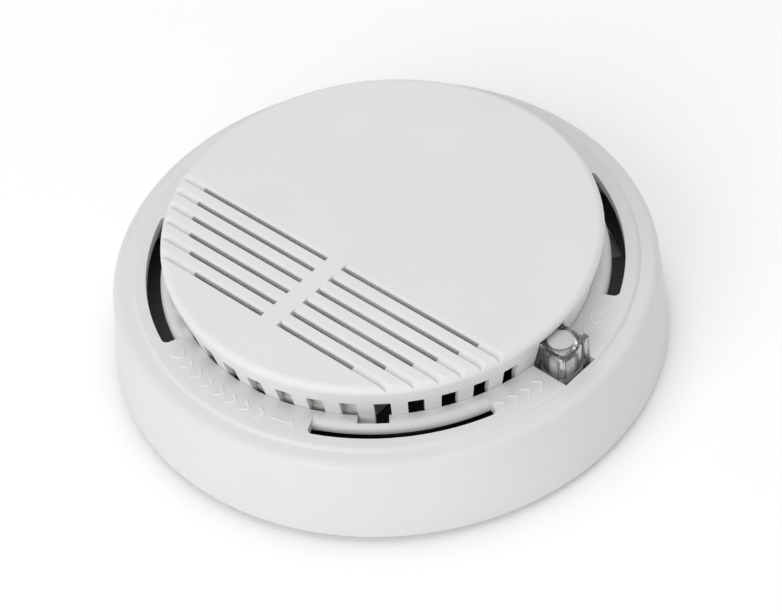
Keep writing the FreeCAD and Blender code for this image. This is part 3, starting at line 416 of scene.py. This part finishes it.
def combined(base, others):
    """One mesh made from a base by joining or cutting others, each given with its operation."""
    holders = []
    for index, bm in enumerate([base] + [other for other, operation in others]):
        bmesh.ops.recalc_face_normals(bm, faces=bm.faces)
        mesh = bpy.data.meshes.new(f"draft_{index}")
        bm.to_mesh(mesh)
        bm.free()
        holder = bpy.data.objects.new(f"draft_{index}", mesh)
        bpy.context.scene.collection.objects.link(holder)
        holders.append(holder)
    for holder, (other, operation) in zip(holders[1:], others):
        modifier = holders[0].modifiers.new(operation, "BOOLEAN")
        modifier.operation = operation
        modifier.solver = "EXACT"
        modifier.object = holder
    bpy.context.view_layer.update()
    finished = holders[0].evaluated_get(bpy.context.evaluated_depsgraph_get())
    result = bmesh.new()
    result.from_mesh(finished.to_mesh())
    finished.to_mesh_clear()
    bmesh.ops.remove_doubles(result, verts=result.verts, dist=1e-7)
    for holder in holders:
        mesh = holder.data
        bpy.data.objects.remove(holder)
        bpy.data.meshes.remove(mesh)
    return result


# ---------------------------------------------------------------- raised marks on the cover

MARK_HEIGHT = 0.15 * MM
MARK_SINK = 0.05 * MM
STROKE = 0.55 * MM


def add_stroke(bm, start, end, width):
    """A raised straight stroke on the cover with chamfered edges, between two flat points."""
    along = (Vector(end) - Vector(start)).normalized()
    across = Vector((-along.y, along.x)) * width / 2
    chamfer = 0.16 * MM
    levels = []
    for level, inset in ((PLATE - MARK_SINK, 0.0), (PLATE + MARK_HEIGHT * 0.45, 0.0),
                         (PLATE + MARK_HEIGHT, chamfer)):
        shorten = along * inset
        narrow = across * (1 - inset / (width / 2))
        corners = [Vector(start) + shorten - narrow, Vector(end) - shorten - narrow,
                   Vector(end) - shorten + narrow, Vector(start) + shorten + narrow]
        levels.append([bm.verts.new((corner.x, corner.y, level)) for corner in corners])
    for lower, upper in zip(levels, levels[1:]):
        for index in range(4):
            following = (index + 1) % 4
            bm.faces.new((lower[index], lower[following], upper[following], upper[index]))
    bm.faces.new(levels[-1])
    bm.faces.new(list(reversed(levels[0])))


def add_chevron(bm, radius, angle, size, forward):
    """Two strokes meeting at a point that leads in the direction of the turn."""
    spread = math.degrees(size * 0.62 / radius)
    tip = polar(radius, angle + forward * spread)
    for side in (-1, 1):
        add_stroke(bm, polar(radius + side * size / 2, angle), tip, STROKE)


def add_arc_line(bm, radius, start, end, width):
    """A raised line along a circle, as short straight strokes end to end."""
    steps = max(1, round(abs(end - start) / 2.5))
    stations = [start + (end - start) * step / steps for step in range(steps + 1)]
    for first, second in zip(stations, stations[1:]):
        add_stroke(bm, polar(radius, first), polar(radius, second), width)


def add_cover_marks():
    """Plain raised marks: chevrons and an arrow for the twist, chevrons by the button, and ticks."""
    middle = 44.0 * MM
    large, small = 2.5 * MM, 2.3 * MM
    line = 0.45 * MM
    button = math.degrees(BUTTON_ANGLE)
    bm = bmesh.new()
    for step in range(8):
        add_chevron(bm, middle, 206.5 + 4.0 * step, large, 1)
    add_arc_line(bm, middle, 238.5, 244.5, line)
    add_chevron(bm, middle, 243.2, 1.5 * MM, 1)
    for step in range(4):
        add_chevron(bm, middle, button - 20.5 + 3.6 * step, large, 1)
    for step in range(3):
        add_chevron(bm, middle - 0.9 * MM, button + 19.5 - 3.6 * step, small, -1)
    add_arc_line(bm, middle + 1.9 * MM, button + 10, button + 21, line)
    for step in range(10):
        angle = 127 + 3.0 * step
        length = (1.3 if step % 3 == 0 else 0.8) * MM
        add_stroke(bm, polar(middle - length, angle), polar(middle + length, angle), 0.4 * MM)
    # The marks use the lighter material, a painted highlight.
    marks = add_piece("cover_marks", bm, highlight_lit_marks, "housing", 20)


# ---------------------------------------------------------------- test button

def add_test_button():
    """The clear button: a block with a wider front plate, a stop flange and a frosted lamp window."""
    inner = BUTTON_CENTRE - 3.5 * MM
    outer = BUTTON_CENTRE + 3.5 * MM
    core_half = 3.1 * MM
    wing_half = 3.75 * MM
    wing_depth = 1.2 * MM
    flange_side = 1.4 * MM
    flange_height = 1.5 * MM
    bore = 2.95 * MM
    crown = 1.2 * MM
    window = LAMP_RADIUS * 0.88
    window_depth = 0.35 * MM
    top = BUTTON_HIGH.z
    bottom = BUTTON_LOW.z
    spot = Matrix.Translation((BUTTON_CENTRE, 0, 0))

    core = bmesh.new()
    add_prism(core, [
        (inner, -core_half), (outer - wing_depth, -core_half), (outer - wing_depth, -wing_half),
        (outer, -wing_half), (outer, wing_half), (outer - wing_depth, wing_half),
        (outer - wing_depth, core_half), (inner, core_half),
    ], bottom, top)
    bevel_sharp(core, 0.1 * MM, 2, above=bottom + flange_height)
    stop = bmesh.new()
    reach = wing_half + flange_side
    add_prism(stop, box_outline(inner - flange_side, outer + flange_side, -reach, reach),
              bottom, bottom + flange_height)
    bevel_sharp(stop, 0.15 * MM, 2)
    hollow = bmesh.new()
    lathe(hollow, [
        (0, bottom - 1 * MM), (bore, bottom - 1 * MM), (bore, top - crown - bore * 0.3),
        (bore * 0.85, top - crown - 0.3 * MM), (bore * 0.5, top - crown - 0.05 * MM), (0, top - crown),
    ], closed=False)
    bmesh.ops.transform(hollow, matrix=spot, verts=hollow.verts)
    dish = bmesh.new()
    dish_floor, dish_rim = top - window_depth, top + 1 * MM
    lathe(dish, [(0, dish_floor), (window, dish_floor), (window, dish_rim), (0, dish_rim)], closed=False)
    bmesh.ops.transform(dish, matrix=spot, verts=dish.verts)
    button = combined(core, [(stop, "UNION"), (hollow, "DIFFERENCE"), (dish, "DIFFERENCE")])
    place_turned(button)
    piece = add_piece("clear_button", button, acrylic, "button", 25)
    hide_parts("test_button")

    lens = bmesh.new()
    lathe(lens, [
        (0, top - window_depth), (window - 0.02 * MM, top - window_depth),
        (window - 0.02 * MM, top - 0.16 * MM), (window * 0.85, top - 0.06 * MM),
        (window * 0.5, top - 0.02 * MM), (0, top),
    ], closed=False)
    bmesh.ops.transform(lens, matrix=spot, verts=lens.verts)
    place_turned(lens)
    lamp_window = add_piece("lamp_window", lens, frosted, "button")


def add_lamp_collar():
    """A white tube round the indicator lamp, inside the button's bore, that lights the clear block."""
    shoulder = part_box("status_led")[1].z - LAMP_RADIUS
    inner = LAMP_RADIUS * 1.03
    outer = LAMP_RADIUS * 1.11
    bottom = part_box("led_spacer")[1].z + 1.05 * MM
    bm = bmesh.new()
    lathe(bm, [(inner, bottom), (outer, bottom), (outer, shoulder - 0.1 * MM), (outer * 0.985, shoulder),
               (inner * 1.01, shoulder), (inner, shoulder - 0.1 * MM)])
    bmesh.ops.transform(bm, matrix=Matrix.Translation((BUTTON_CENTRE, 0, 0)), verts=bm.verts)
    place_turned(bm)
    collar = add_piece("lamp_collar", bm, white_nylon, "housing")


# ---------------------------------------------------------------- battery

def add_battery_jacket():
    """The steel jacket with rolled rims at both ends, over a recessed bottom plate."""
    low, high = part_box("battery_case")
    rounding = 2.0 * MM
    rim = 0.55 * MM
    bm = bmesh.new()
    loops = []
    stations = [
        (low.x + 0.5 * MM, 1.6 * MM), (low.x + 0.5 * MM, 1.0 * MM), (low.x + 0.1 * MM, 0.75 * MM),
        (low.x, 0.45 * MM), (low.x + 0.15 * MM, 0.15 * MM), (low.x + rim, 0.0), (low.x + 1.1 * MM, 0.0),
        (low.x + 1.3 * MM, 0.12 * MM), (low.x + 1.7 * MM, 0.12 * MM), (low.x + 1.9 * MM, 0.0),
        (high.x - 1.9 * MM, 0.0), (high.x - 1.7 * MM, 0.12 * MM), (high.x - 1.3 * MM, 0.12 * MM),
        (high.x - 1.1 * MM, 0.0), (high.x - rim, 0.0), (high.x - 0.15 * MM, 0.12 * MM), (high.x, 0.45 * MM),
    ]
    for x, inset in stations:
        outline = rounded_outline(low.y + inset, high.y - inset, low.z + inset, high.z - inset,
                                  rounding - inset * 0.8)
        loops.append([bm.verts.new((x, y, z)) for y, z in outline])
    count = len(loops[0])
    for first, second in zip(loops, loops[1:]):
        for index in range(count):
            following = (index + 1) % count
            bm.faces.new((first[index], first[following], second[following], second[index]))
    bm.faces.new(loops[0])
    bm.faces.new(list(reversed(loops[-1])))
    piece = add_piece("battery_jacket", bm, jacket_finish(low.x, high.x), "battery", 40)
    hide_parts("battery_case")


def add_terminal(name, node, socket):
    """A snap terminal: a domed stud, or a socket of six sprung petals round a floor."""
    low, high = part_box(node)
    radius = (high.y - low.y) / 2
    reach = high.x - low.x
    bm = bmesh.new()
    if socket:
        wall = radius * 0.2
        petals = 6
        for petal in range(petals):
            start = 360 / petals * petal + 4
            end = 360 / petals * (petal + 1) - 4
            outer = arc_points(radius, start, end, 6)
            inner = arc_points(radius - wall, end, start, 6)
            add_prism(bm, outer + inner, reach * 0.3, reach)
        bevel_sharp(bm, 0.12 * MM, 2)
        base = bmesh.new()
        lathe(base, [(0, 0), (radius, 0), (radius, reach * 0.32), (radius - wall, reach * 0.36),
                     (radius - wall * 1.6, reach * 0.2), (0, reach * 0.2)], closed=False)
        spare = bpy.data.meshes.new("terminal_base")
        base.to_mesh(spare)
        base.free()
        bm.from_mesh(spare)
        bpy.data.meshes.remove(spare)
    else:
        lathe(bm, [(0, 0), (radius, 0), (radius, reach * 0.12), (radius * 0.86, reach * 0.3),
                   (radius * 0.86, reach * 0.55), (radius * 0.97, reach * 0.75), (radius * 0.9, reach * 0.93),
                   (radius * 0.7, reach), (radius * 0.42, reach), (radius * 0.36, reach * 0.8),
                   (0, reach * 0.78)], closed=False)
    along = Matrix.Rotation(math.radians(90), 4, "Y")
    middle = Matrix.Translation((low.x, (low.y + high.y) / 2, (low.z + high.z) / 2))
    bmesh.ops.transform(bm, matrix=middle @ along, verts=bm.verts)
    piece = add_piece(name, bm, nickel, "battery")
    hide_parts(node)


def jacket_finish(low_x, high_x):
    """Printed steel: dark satin lacquer with two plain pale bands, brushed faintly along its length."""
    make = Nodes("battery_jacket")
    split = make.add("ShaderNodeSeparateXYZ")
    make.link(make.place, split.inputs["Vector"])
    along = make.add("ShaderNodeMapRange")
    along.inputs["From Min"].default_value = low_x
    along.inputs["From Max"].default_value = high_x
    make.link(split.outputs["X"], along.inputs["Value"])
    dark, pale, bare = (0.035, 0.05, 0.085), (0.62, 0.63, 0.64), (0.5, 0.5, 0.5)
    bands = make.ramp(along.outputs["Result"], [
        (0.0, bare), (0.045, dark), (0.62, pale), (0.66, dark), (0.70, pale), (0.72, dark), (0.955, bare),
    ])
    for node in make.tree.nodes:
        if node.type == "VALTORGB":
            node.color_ramp.interpolation = "CONSTANT"
    scuffs = make.add("ShaderNodeTexNoise", Scale=70.0, Detail=6.0, Roughness=0.7)
    stretch = make.add("ShaderNodeMapping")
    stretch.inputs["Scale"].default_value = (0.25, 3.0, 3.0)
    make.link(make.place, stretch.inputs["Vector"])
    make.link(stretch.outputs["Vector"], scuffs.inputs["Vector"])
    wear = make.ramp(scuffs.outputs["Fac"], [(0.64, grey(0.0)), (0.72, grey(0.35))])
    mix = make.add("ShaderNodeMix", data_type="RGBA")
    make.link(wear, mix.inputs["Factor"])
    make.link(bands, mix.inputs["A"])
    mix.inputs["B"].default_value = (0.42, 0.42, 0.41, 1.0)
    make.colour(mix.outputs["Result"])
    make.rough(make.range(scuffs.outputs["Fac"], 0.22, 0.42))
    make.bump(scuffs.outputs["Fac"], 0.15, 0.02 * MM)
    make.set(Metallic=0.65)
    return make.material


# ---------------------------------------------------------------- insect mesh

def add_insect_mesh():
    """A woven screen round the chamber: a lattice of fine wires with open holes."""
    low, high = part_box("insect_mesh")
    middle = (low + high) / 2
    radius = (high.x - low.x) / 2 - 0.12 * MM
    around, rows = 88, 12
    bm = bmesh.new()
    grid = []
    for row in range(rows + 1):
        z = low.z + 0.12 * MM + (high.z - low.z - 0.24 * MM) * row / rows
        ring = []
        for index in range(around):
            angle = math.tau * index / around
            bulge = 0.05 * MM * (1 if (index + row) % 2 else -1)
            ring.append(bm.verts.new((middle.x + (radius + bulge) * math.cos(angle),
                                      middle.y + (radius + bulge) * math.sin(angle), z)))
        grid.append(ring)
    for lower, upper in zip(grid, grid[1:]):
        for index in range(around):
            following = (index + 1) % around
            bm.faces.new((lower[index], lower[following], upper[following], upper[index]))
    bmesh.ops.wireframe(bm, faces=bm.faces, thickness=0.16 * MM, use_replace=True, use_even_offset=True,
                        use_boundary=True)
    piece = add_piece("woven_screen", bm, steel_mesh, "housing")
    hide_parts("insect_mesh")


# ---------------------------------------------------------------- back face

def add_back_details():
    """Moulded details under the spigot: a rim bead, plus and minus marks and a turning arrow."""
    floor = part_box("back_shell")[0].z
    depth = 0.4 * MM
    root = floor + 0.05 * MM
    battery_low, battery_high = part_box("battery_case")
    bead = 33.2 * MM
    arrow = 26.0 * MM
    bm = bmesh.new()
    add_prism(bm, arc_band(bead, 0.9 * MM, 202, 338), floor - depth, root)
    add_prism(bm, arc_band(bead - 2.2 * MM, 0.5 * MM, 205, 335), floor - depth * 0.6, root)
    mark_y = battery_low.y - 6.0 * MM
    arm, half = 2.2 * MM, 0.35 * MM
    plus_x = battery_high.x - 1.0 * MM
    minus_x = plus_x - 9.0 * MM
    bars = [
        (plus_x, mark_y, arm, half),
        (plus_x, mark_y - (arm + half) / 2, half, (arm - half) / 2),
        (plus_x, mark_y + (arm + half) / 2, half, (arm - half) / 2),
        (minus_x, mark_y, arm, half),
    ]
    for x, y, half_x, half_y in bars:
        outline = box_outline(x - half_x, x + half_x, y - half_y, y + half_y)
        add_prism(bm, outline, floor - depth, root)
    add_prism(bm, arc_band(arrow, 1.1 * MM, 236, 262), floor - depth, root)
    add_prism(bm, arrow_head(arrow, 3.4 * MM, 3.4 * MM, 262.5, 1), floor - depth, root)
    # The back marks take the near-black shell material, which is painted shade.
    add_piece("back_marks", bm, shade_dark_shell, "housing", 25)


add_cover_marks()
add_test_button()
add_lamp_collar()
add_battery_jacket()
add_terminal("battery_stud", "positive_terminal", False)
add_terminal("battery_socket", "negative_terminal", True)
add_insect_mesh()
add_back_details()


# ---------------------------------------------------------------- stage, light and camera

def add_floor():
    """A plain white sweep under the object, clear when seen from below."""
    half = 3.0
    mesh = bpy.data.meshes.new("floor")
    corners = [(-half, -half, 0), (half, -half, 0), (half, half, 0), (-half, half, 0)]
    mesh.from_pydata(corners, [], [(0, 1, 2, 3)])
    floor = bpy.data.objects.new("floor", mesh)
    floor.location.z = -0.0002
    bpy.context.scene.collection.objects.link(floor)
    make = Nodes("floor_white")
    make.colour(make.ramp(make.noise(3.0), [(0.3, grey(0.93)), (0.7, grey(0.95))]))
    make.set(Roughness=0.9, Emission_Color=(1, 1, 1, 1), Emission_Strength=0.07)
    clear = make.add("ShaderNodeBsdfTransparent")
    mix = make.add("ShaderNodeMixShader")
    output = make.tree.nodes["Material Output"]
    make.link(make.add("ShaderNodeNewGeometry").outputs["Backfacing"], mix.inputs["Fac"])
    make.link(make.shader.outputs["BSDF"], mix.inputs[1])
    make.link(clear.outputs["BSDF"], mix.inputs[2])
    make.link(mix.outputs["Shader"], output.inputs["Surface"])
    mesh.materials.append(make.material)


def add_world(strength):
    """Even white light from all round."""
    world = bpy.data.worlds.new("studio")
    world.use_nodes = True
    background = world.node_tree.nodes["Background"]
    background.inputs["Color"].default_value = (1.0, 1.0, 1.0, 1.0)
    background.inputs["Strength"].default_value = strength
    bpy.context.scene.world = world


def add_softbox(name, location, size, power):
    """A rectangular area lamp aimed at the origin."""
    lamp = bpy.data.lights.new(name, "AREA")
    lamp.shape = "RECTANGLE"
    lamp.size, lamp.size_y = size
    lamp.energy = power
    holder = bpy.data.objects.new(name, lamp)
    holder.location = location
    holder.rotation_euler = (-Vector(location)).to_track_quat("-Z", "Y").to_euler()
    bpy.context.scene.collection.objects.link(holder)


def add_camera():
    """Looks along +Y from above, aimed at the axis at the skirt's rim, with a slight roll."""
    elevation = math.radians(46.47)
    distance = 8.5 * RIM_RADIUS
    forward = Vector((0, math.cos(elevation), -math.sin(elevation)))
    right = Vector((1, 0, 0))
    up = right.cross(forward)
    pan = Matrix.Rotation(math.radians(-0.029), 3, up)
    forward, right = pan @ forward, pan @ right
    tilt = Matrix.Rotation(math.radians(0.271), 3, right)
    forward, up = tilt @ forward, tilt @ up
    roll = Matrix.Rotation(math.radians(5.95), 3, forward)
    right, up = roll @ right, roll @ up
    camera = bpy.data.cameras.new("camera")
    camera.lens = 107.9
    camera.sensor_width = 36.0
    camera.clip_start = 0.01
    camera.clip_end = 20.0
    holder = bpy.data.objects.new("camera", camera)
    turned = Matrix((right, up, -forward)).transposed().to_4x4()
    level = Vector((0, 0, RIM_LEVEL))
    away = Vector((0, -math.cos(elevation), math.sin(elevation))) * distance
    holder.matrix_world = Matrix.Translation(level + away) @ turned
    bpy.context.scene.collection.objects.link(holder)
    bpy.context.scene.camera = holder


add_floor()
add_world(0.575)
add_softbox("key_softbox", (-0.55, -0.75, 0.55), (0.9, 0.7), 5.05)
add_softbox("top_softbox", (0.1, 0.25, 1.1), (1.2, 1.2), 4.0)
add_camera()
bpy.context.scene.view_settings.view_transform = "Standard"
